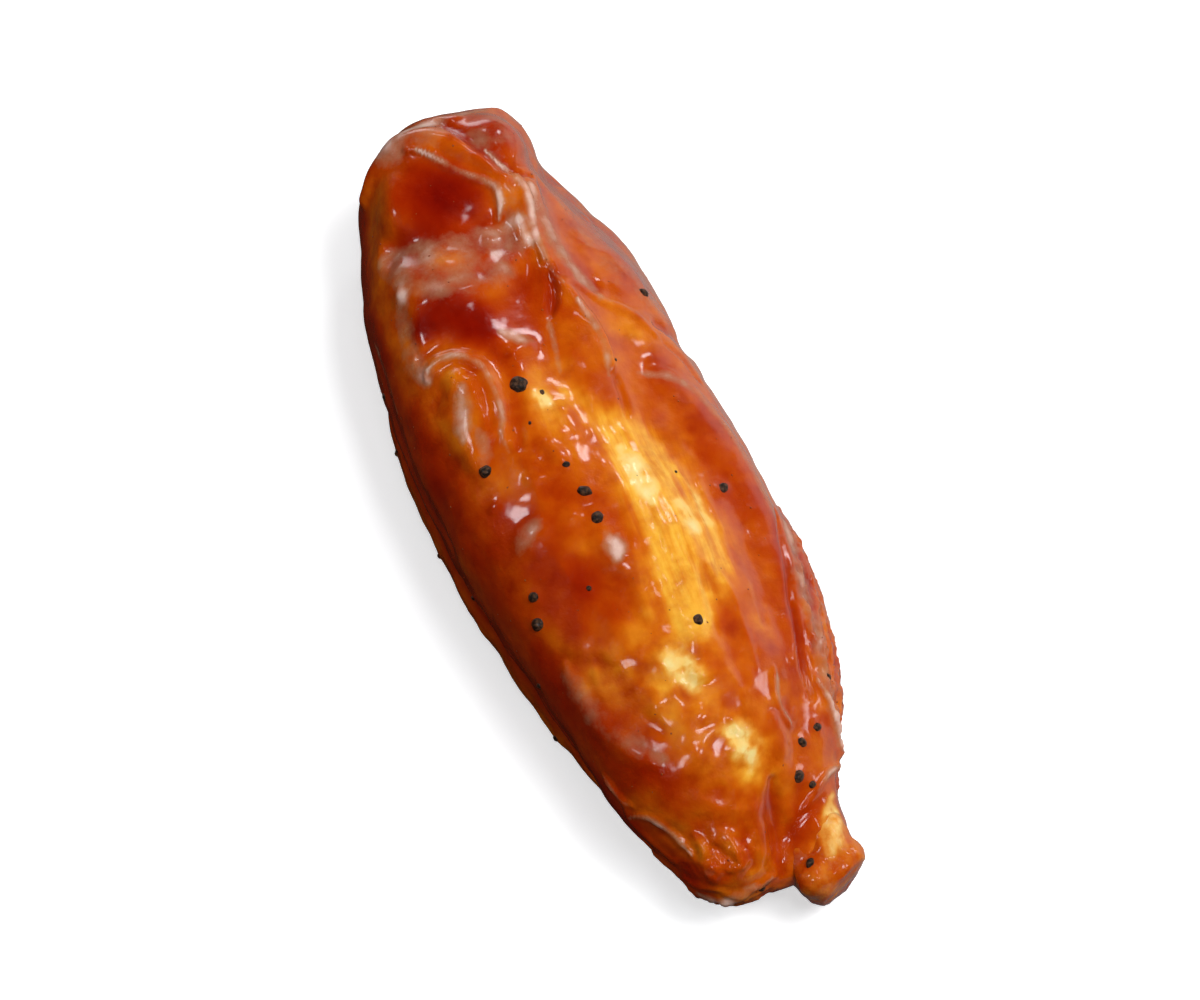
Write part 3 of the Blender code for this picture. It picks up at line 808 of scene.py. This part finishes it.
def finishGlazed(tree, values, under, depth, milkAndSheen, place):  # the sauced finish of skin and bone
    inputs = {"Under": under, "Depth": mathNode(tree, "MAXIMUM", depth, 0.0)}
    film = addNode(tree, "Group", inputs, node_tree=filmGroup).outputs
    # where much is painted: the set-butterfat film, and painted highlights and sheens
    painted = mathNode(tree, "ADD", milkAndSheen, -butterAndSheen["begins"])
    ragged = noiseNode(tree, place, butterAndSheen["raggedSize"], 6.0, 0.7)
    torn = mathNode(tree, "MULTIPLY_ADD", ragged, butterAndSheen["raggedness"], painted)
    full, hides = butterAndSheen["covers"]
    filmAndSheen = rangeNode(tree, torn, 0.0, full, 0.0, hides, smooth=False)
    highlightShare = rangeNode(tree, milkAndSheen, *butterAndSheen["turnsToHighlight"])
    filmAndHighlight = mixColour(tree, highlightShare, butterAndSheen["thin"], butterAndSheen["paintedHighlight"])
    dulled = mathNode(tree, "MULTIPLY_ADD", filmAndSheen, -butterAndSheen["dulls"], 1.0)
    bump = addNode(tree, "Bump", {
        "Height": noiseNode(tree, place, glaze["bumpSize"], 5.0, 0.65),
        "Distance": glaze["bumpHeight"] * mm,
        "Strength": glaze["bumpStrength"],
    })
    feed(tree, tree.nodes["Principled BSDF"], {
        "Base Color": mixColour(tree, filmAndSheen, film["Colour"], filmAndHighlight),
        "Roughness": mathNode(tree, "MULTIPLY_ADD", filmAndSheen, butterAndSheen["roughens"], film["Roughness"]),
        "Coat Weight": mathNode(tree, "MULTIPLY", film["Gloss"], dulled),
        "Coat Roughness": values["coatRoughness"],
        "Coat IOR": glaze["coatIor"],
        "Specular IOR Level": glaze["specular"],
        "Subsurface Weight": values["subsurface"],
        "Subsurface Radius": glaze["scatterRadius"],
        "Subsurface Scale": glaze["scatterScale"] * mm,
        "Normal": bump.outputs[0],
    })


def makeGlazedSkin():
    material, tree = newMaterial("glazedSkin")
    place = objectPlace(tree)
    size, begins, full = glazedSkin["blotches"]
    blotches = rangeNode(tree, noiseNode(tree, place, size, 4.0), begins, full)
    under = mixColour(tree, blotches, glazedSkin["fried"], glazedSkin["browned"])
    # whitish yellow where cartilage shows through, and for painted highlights
    paleAndHighlight = readAttribute(tree, "paleAndHighlight")
    under = mixColour(tree, paleAndHighlight, under, glazedSkin["gristleAndHighlight"])
    grain = thickerThinner(tree, place, *glazedSkin["grain"])
    streaks = thickerThinner(tree, place, *glazedSkin["streaks"], 3.0, stretch=(1.0, 0.08, 1.0))
    streaks = mathNode(tree, "MULTIPLY", readAttribute(tree, "grained"), streaks)
    depth = mathNode(tree, "ADD", readAttribute(tree, "sauce"), grain)
    depth = mathNode(tree, "ADD", depth, streaks)
    depth = mathNode(tree, "MULTIPLY_ADD", paleAndHighlight, -glazedSkin["gristleThins"], depth)
    finishGlazed(tree, glazedSkin, under, depth, readAttribute(tree, "milkAndSheen"), place)
    return material


def dress(piece, material):
    piece.data.materials.clear()
    piece.data.materials.append(material)


dress(wingSkin, makeGlazedSkin())
print("skin glazed")

boneEnd = {
    "voxel": 0.25,
    "smoothing": 10,
    "inside": 13.0,  # from its tip to where it is cut off, inside the meat
    "cutFace": ((8.6, -47.0, 7.0), (0.42, -0.86, -0.05)),  # a point on its flat end, and that end's way
    "cutFlat": 0.8,  # how flat that end is
    "evening": 3,  # rounds
    "lumps": ((2.4, 0.22, 3, 21.0), (0.9, 0.05, 2, 5.0)),
    "sauce": 0.34,
    "blotches": ((2.0, 0.10, 3, 7.0),),
    "sauceRange": (0.02, 1.2),
    "filmUneven": (1.6, 0.2, 0.3, 3, 2.0),
    "bone": (0.98, 0.66, 0.24, 1),
    "stained": (0.88, 0.36, 0.04, 1),
    "stains": (2.0, 0.4, 0.7),
    "grain": (0.7, -0.08, 0.08),
    "coatRoughness": 0.08,
    "subsurface": 0.10,
}
boneStrokes = [
    # the waist filled in with tissue, and the end slanted between two blunt corners
    ("left", [(-42, 7.4), (-42.2, 5)], 2.8, 0.9),
    ([(9.8, -41.4)], 2.6, 0.45),
    ([(10.6, -45.4)], 2.6, 0.9),
    ([(5.2, -46.4)], 2.6, 0.9),
    ("wrist", [(10.6, 6.6)], 2.6, -0.3),
    ("wrist", [(7.6, 9.4), (7.4, 6.4)], 1.6, -0.25),
    ([(6.2, -43.2)], 1.6, -0.35),
    ([(10.4, -40), (9.2, -42.4), (8.4, -44.6)], 1.1, 0.25),
]
bonePaint = [
    ([(10.4, -39.2), (9.2, -42), (8, -44.6)], 1.8, -0.3),
    ([(5.8, -44)], 2, 0.30),
    ([(5, -40.6), (4.4, -43), (4.6, -46)], 1.6, 0.2),
    ("wrist", [(4.6, 4.6), (7.6, 3.4), (10.8, 4.6)], 3, 0.4),
]


def makeBoneEnd():
    shape = solidCopy("wing_bone")
    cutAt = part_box("wing_bone")[0].y + boneEnd["inside"] * mm
    everything = [*shape.verts, *shape.edges, *shape.faces]
    bmesh.ops.bisect_plane(shape, geom=everything, plane_co=(0, cutAt, 0), plane_no=(0, 1, 0),
                           clear_outer=True)
    bmesh.ops.holes_fill(shape, edges=[edge for edge in shape.edges if edge.is_boundary], sides=0)
    piece = pieceFrom("bone_end", shape)
    mesh = remeshed(piece, boneEnd["voxel"], boneEnd["smoothing"])
    surface = surfaceOf(mesh)
    place = pointsOf(mesh)  # where the noise is read, before the end is shaped
    pushOut(mesh, strokeField(place, surface, boneStrokes))
    at, away = (np.array(given, float) for given in boneEnd["cutFace"])
    away /= np.linalg.norm(away)
    points = pointsOf(mesh)
    beyond = np.clip((points - at) @ away, 0, None)
    points -= boneEnd["cutFlat"] * beyond[:, None] * away
    setPoints(mesh, spread(points, edgesOf(mesh), boneEnd["evening"]))
    pushOut(mesh, clouds(place, boneEnd["lumps"]))
    sauce = boneEnd["sauce"] + strokeField(place, surface, bonePaint) + clouds(place, boneEnd["blotches"])
    setAttribute(mesh, "sauce", np.clip(sauce, *boneEnd["sauceRange"]))
    setAttribute(mesh, "milkAndSheen", np.clip(uneven(place, *boneEnd["filmUneven"]), 0, 1))
    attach(piece, "root")
    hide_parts("wing_bone")
    return piece


def makeCookedBone():
    material, tree = newMaterial("cookedBone")
    place = objectPlace(tree)
    size, begins, full = boneEnd["stains"]
    stains = rangeNode(tree, noiseNode(tree, place, size, 4.0), begins, full)
    under = mixColour(tree, stains, boneEnd["bone"], boneEnd["stained"])
    grain = thickerThinner(tree, place, *boneEnd["grain"], stretch=(1.0, 0.3, 1.0))
    depth = mathNode(tree, "ADD", readAttribute(tree, "sauce"), grain)
    finishGlazed(tree, boneEnd, under, depth, readAttribute(tree, "milkAndSheen"), place)
    return material


boneKnuckle = makeBoneEnd()
dress(boneKnuckle, makeCookedBone())
print("bone end made")

pepper = {
    "seed": 11,
    # where the coarse flecks lie on the top, and their radius, in mm
    "placed": [((-5.3, 11.1), 1.10), ((-3.3, 9.5), 0.36), ((-4.0, 0.5), 0.45), ((-3.3, -3.0), 0.85),
               ((-3.1, -6.2), 0.85), ((-6.5, -12.8), 0.34), ((-11.8, -10.8), 0.70), ((-12.3, -13.4), 0.82),
               ((11.3, -5.2), 0.68), ((2.7, -20.0), 0.66), ((11.3, -32.1), 0.58), ((9.1, -33.4), 0.66),
               ((7.5, -36.5), 0.74), ((8.7, -37.4), 0.50), ((-11.8, 3.4), 0.80), ((11.8, 19.4), 0.62),
               ((14.6, -27.0), 0.40), ((7.0, -2.6), 0.20), ((5.6, 11.4), 0.22), ((-5.8, 6.4), 0.24)],
    "onBone": [((5.6, -44.8), 0.62)],
    "scattered": 34,  # more of them, on the sides
    "sideways": 0.3,  # they lie where the skin's normal rises less than this
    "lowest": 1.2,  # mm above the floor
    "sizes": (0.25, 0.6),
    "form": (0.9, 0.14, 3),  # flatness, raggedness and fineness
    "sunk": 0.22,  # share of its radius that a fleck lies below the sauce
    "drawnUp": 0.22,  # share of its radius that the sauce climbs round it
    "drawnFrom": 2.2,  # how far out that begins, in radii
    "dark": (0.012, 0.007, 0.005, 1),
    "light": (0.10, 0.045, 0.022, 1),
    "speckle": 0.35,
}
spice = {
    "seed": 12,
    "count": 260,
    "lowest": 0.6,
    "sizes": (0.06, 0.15),
    "form": (0.8, 0.6, 1),
    "sunk": 0.3,
    "dark": (0.16, 0.018, 0.004, 1),
    "light": (0.40, 0.08, 0.012, 1),
    "speckle": 0.12,
}
grit = {  # what both share: small hard grains, wet with sauce
    "roughness": (0.35, 0.6),
    "specular": 0.25,
    "coat": 0.2,
    "coatRoughness": 0.15,
}


def addBlob(target, centre, normal, size, form, dice):
    flatness, ragged, fineness = form
    made = bmesh.ops.create_icosphere(target, subdivisions=fineness, radius=1.0)["verts"]
    turn = normal.to_track_quat("Z", "Y") @ Quaternion((0, 0, 1), dice.uniform(0, 2 * math.pi))
    stretch = dice.uniform(0.75, 1.0)
    shift = Vector([dice.uniform(0, 50) for _ in range(3)])
    for vertex in made:
        swell = size * (1 + ragged * noise.noise(vertex.co * 1.4 + shift))
        shaped = Vector((vertex.co.x, vertex.co.y * stretch, vertex.co.z * flatness)) * swell
        vertex.co = (centre + turn @ shaped) * mm


def randomSpots(mesh, count, dice, wanted):  # seeded places on a mesh, even by area
    faces = mesh.polygons
    areas = np.cumsum([face.area for face in faces])
    spots = []
    while len(spots) < count:
        face = faces[int(np.searchsorted(areas, dice.random() * areas[-1]))]
        centre, normal = face.center / mm, face.normal.copy()
        if wanted(centre, normal):
            spots.append((centre, normal))
    return spots


def scatterPiece(name, made):
    piece = pieceFrom(name, made)
    piece.data.shade_smooth()
    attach(piece, "root")
    return piece


def drawUp(mesh, spots):  # the sauce climbs a little round each fleck
    points, normals = pointsOf(mesh), normalsOf(mesh)
    rise = np.zeros(len(points))
    for centre, normal, size in spots:
        distance = np.linalg.norm(points - np.array(centre), axis=1) / (pepper["drawnFrom"] * size)
        rise += pepper["drawnUp"] * size * np.clip(1 - distance ** 2, 0, 1) ** 2
    setPoints(mesh, points + normals * rise[:, None])


def onSides(centre, normal):
    return normal.z < pepper["sideways"] and centre.z > pepper["lowest"]


def offFloor(centre, normal):
    return centre.z > spice["lowest"]


def makePepper():
    dice = random.Random(pepper["seed"])
    shapes = random.Random(pepper["seed"] + 1)  # apart, so that a fleck keeps its shape when others move
    spots = []
    for mesh, placed in ((wingSkin.data, pepper["placed"]), (boneKnuckle.data, pepper["onBone"])):
        surface = surfaceOf(mesh)
        for (x, y), size in placed:
            hit, normal = surface.ray_cast(Vector((x, y, castFrom)), castAlong["top"][0])[:2]
            spots.append((hit, normal, size))
    for centre, normal in randomSpots(wingSkin.data, pepper["scattered"], dice, onSides):
        spots.append((centre, normal, dice.uniform(*pepper["sizes"])))
    flecks = bmesh.new()
    for hit, normal, size in spots:
        centre = hit - normal * pepper["sunk"] * size
        addBlob(flecks, centre, normal, size, pepper["form"], shapes)
    drawUp(wingSkin.data, spots)
    return scatterPiece("pepper_flecks", flecks)


def makeSpice():
    dice = random.Random(spice["seed"])
    grains = bmesh.new()
    for spot, normal in randomSpots(wingSkin.data, spice["count"], dice, offFloor):
        size = dice.uniform(*spice["sizes"])
        centre = spot - normal * spice["sunk"] * size
        addBlob(grains, centre, normal, size, spice["form"], dice)
    return scatterPiece("spice_grains", grains)


def makeSpeckled(name, values):
    material, tree = newMaterial(name)
    speckle = noiseNode(tree, objectPlace(tree), values["speckle"], 3.0)
    speckle = rangeNode(tree, speckle, 0.4, 0.65)
    feed(tree, tree.nodes["Principled BSDF"], {
        "Base Color": mixColour(tree, speckle, values["dark"], values["light"]),
        "Roughness": rangeNode(tree, speckle, 0.0, 1.0, *grit["roughness"]),
        "Specular IOR Level": grit["specular"],
        "Coat Weight": grit["coat"],
        "Coat Roughness": grit["coatRoughness"],
    })
    return material


dress(makePepper(), makeSpeckled("wetPepper", pepper))
dress(makeSpice(), makeSpeckled("redSpice", spice))
print("pepper and spice scattered")

view = {
    "azimuth": -20.7,
    "elevation": 65.0,
    "lens": 180.0,
    "sensor": 36.0,
    "middle": (-0.3, 0.4, 11.1),  # the point that the camera looks at, in mm
    "width": 126.0,  # how much it takes in there from side to side, in mm
}


def lookingBack(azimuth, elevation):  # from the object towards a camera there
    a, e = math.radians(azimuth), math.radians(elevation)
    return Vector((math.sin(a) * math.cos(e), -math.cos(a) * math.cos(e), math.sin(e)))


def aim(obj, back):  # turns a camera or lamp that stands that way from the object towards it
    obj.rotation_mode = "QUATERNION"
    obj.rotation_quaternion = (-back).to_track_quat("-Z", "Y")
    bpy.context.scene.collection.objects.link(obj)


def makeCamera():
    back = lookingBack(view["azimuth"], view["elevation"])
    lens = bpy.data.cameras.new("camera")
    lens.lens = view["lens"]
    lens.sensor_width = view["sensor"]
    lens.clip_start = 0.01
    lens.clip_end = 20.0
    camera = bpy.data.objects.new("camera", lens)
    camera.location = (Vector(view["middle"]) + back * view["width"] * view["lens"] / view["sensor"]) * mm
    aim(camera, back)
    bpy.context.scene.camera = camera


makeCamera()

lighting = {
    "overhead": {"azimuth": 72.0, "elevation": 64.0, "distance": 1.0, "size": (0.5, 0.5), "power": 7.5},
    "leftFill": {"azimuth": -100.0, "elevation": 38.0, "distance": 0.6, "size": (0.3, 0.3), "power": 0.42},
    # soft pools of light on the studio's walls: azimuth, elevation, reach within which it is full,
    # reach where it ends, strength
    "glows": [(178, -4, 6, 24, 3.5), (172, 33, 0, 5, 6.0), (135, 36, 1, 6, 14.0), (135, 71, 0, 4, 7.0),
              (112, 12, 4, 24, 0.7), (-122, 42, 1, 6, 12.0), (28, 62, 0, 6, 14.0), (0, 78, 0, 5, 14.0),
              (84, 18, 0, 6, 7.0), (-58, 50, 0, 7, 9.0), (100, -2, 20, 65, 0.12)],
    "glowColour": (0.93, 0.96, 1.0, 1),
    "darkness": 0.01,  # the rest of the studio
}


def makeLight(name):  # a broad lamp that isn't mirrored in the sauce
    values = lighting[name]
    lamp = bpy.data.lights.new(name, "AREA")
    lamp.shape = "RECTANGLE"
    lamp.size, lamp.size_y = values["size"]
    lamp.energy = values["power"]
    light = bpy.data.objects.new(name, lamp)
    way = lookingBack(values["azimuth"], values["elevation"])
    light.location = way * values["distance"]
    light.visible_glossy = False
    aim(light, way)


makeLight("overhead")
makeLight("leftFill")


def makeWorld():  # white to the camera; to the wing, a dark studio with soft pools of light
    world = bpy.data.worlds.new("studio")
    bpy.context.scene.world = world
    world.use_nodes = True
    tree = world.node_tree
    place = addNode(tree, "TexCoord").outputs["Generated"]
    glow = lighting["darkness"]
    for azimuth, elevation, full, ends, strength in lighting["glows"]:
        inputs = {0: place, 1: tuple(lookingBack(azimuth, elevation))}
        toward = addNode(tree, "VectorMath", inputs, operation="DOT_PRODUCT").outputs["Value"]
        outer, inner = (math.cos(math.radians(reach)) for reach in (ends, full))
        glow = mathNode(tree, "ADD", rangeNode(tree, toward, outer, inner, 0.0, strength), glow)
    seen = addNode(tree, "LightPath").outputs["Is Camera Ray"]
    feed(tree, tree.nodes["Background"], {
        "Strength": addNode(tree, "Mix", {"Factor": seen, "A": glow, "B": 1.0}).outputs["Result"],
        "Color": mixColour(tree, seen, lighting["glowColour"], (1, 1, 1, 1)),
    })


makeWorld()
bpy.context.scene.view_settings.view_transform = "Standard"

floorPaper = {
    "half": 0.2,  # half its side, in metres
    "paper": (0.9, 0.9, 0.9, 1),
    "roughness": 0.9,
    "specular": 0.1,
    "glow": 0.55,
    # what it throws back on the wing: from the left a dark brown, painted shade that darkens the wing's
    # left side, from the right a warm light colour, and where along X in metres the one turns into the
    # other
    "left": (0.07, 0.02, 0.01, 1),
    "right": (0.60, 0.50, 0.44, 1),
    "turns": (-0.01, 0.06),
    # a grey glow on its right that only the wing's reflections see, a painted reflection, and where along
    # X that begins and is full
    "paintedReflection": (0.24, 0.24, 0.25, 1),
    "shines": (-0.004, 0.02),
}


def makeFloor():  # white paper to the camera
    mesh = bpy.data.meshes.new("floor")
    half = floorPaper["half"]
    corners = [(-half, -half, 0), (half, -half, 0), (half, half, 0), (-half, half, 0)]
    mesh.from_pydata(corners, [], [(0, 1, 2, 3)])
    paper, tree = newMaterial("whitePaper")
    path = addNode(tree, "LightPath").outputs
    seen = path["Is Camera Ray"]
    across = addNode(tree, "SeparateXYZ", {0: objectPlace(tree)}).outputs["X"]
    side = rangeNode(tree, across, *floorPaper["turns"])
    thrownWithShade = mixColour(tree, side, floorPaper["left"], floorPaper["right"])
    # the painted reflection: a glow that only glossy rays see
    near = rangeNode(tree, across, *floorPaper["shines"])
    mirrored = mathNode(tree, "MULTIPLY", near, path["Is Glossy Ray"])
    paintedReflection = mixColour(tree, mirrored, (0, 0, 0, 1), floorPaper["paintedReflection"])
    feed(tree, tree.nodes["Principled BSDF"], {
        "Base Color": mixColour(tree, seen, thrownWithShade, floorPaper["paper"]),
        "Roughness": floorPaper["roughness"],
        "Specular IOR Level": floorPaper["specular"],
        "Emission Strength": floorPaper["glow"],
        "Emission Color": mixColour(tree, seen, paintedReflection, (1, 1, 1, 1)),
    })
    mesh.materials.append(paper)
    newPiece("floor", mesh)


makeFloor()
print("camera, lights and floor set")
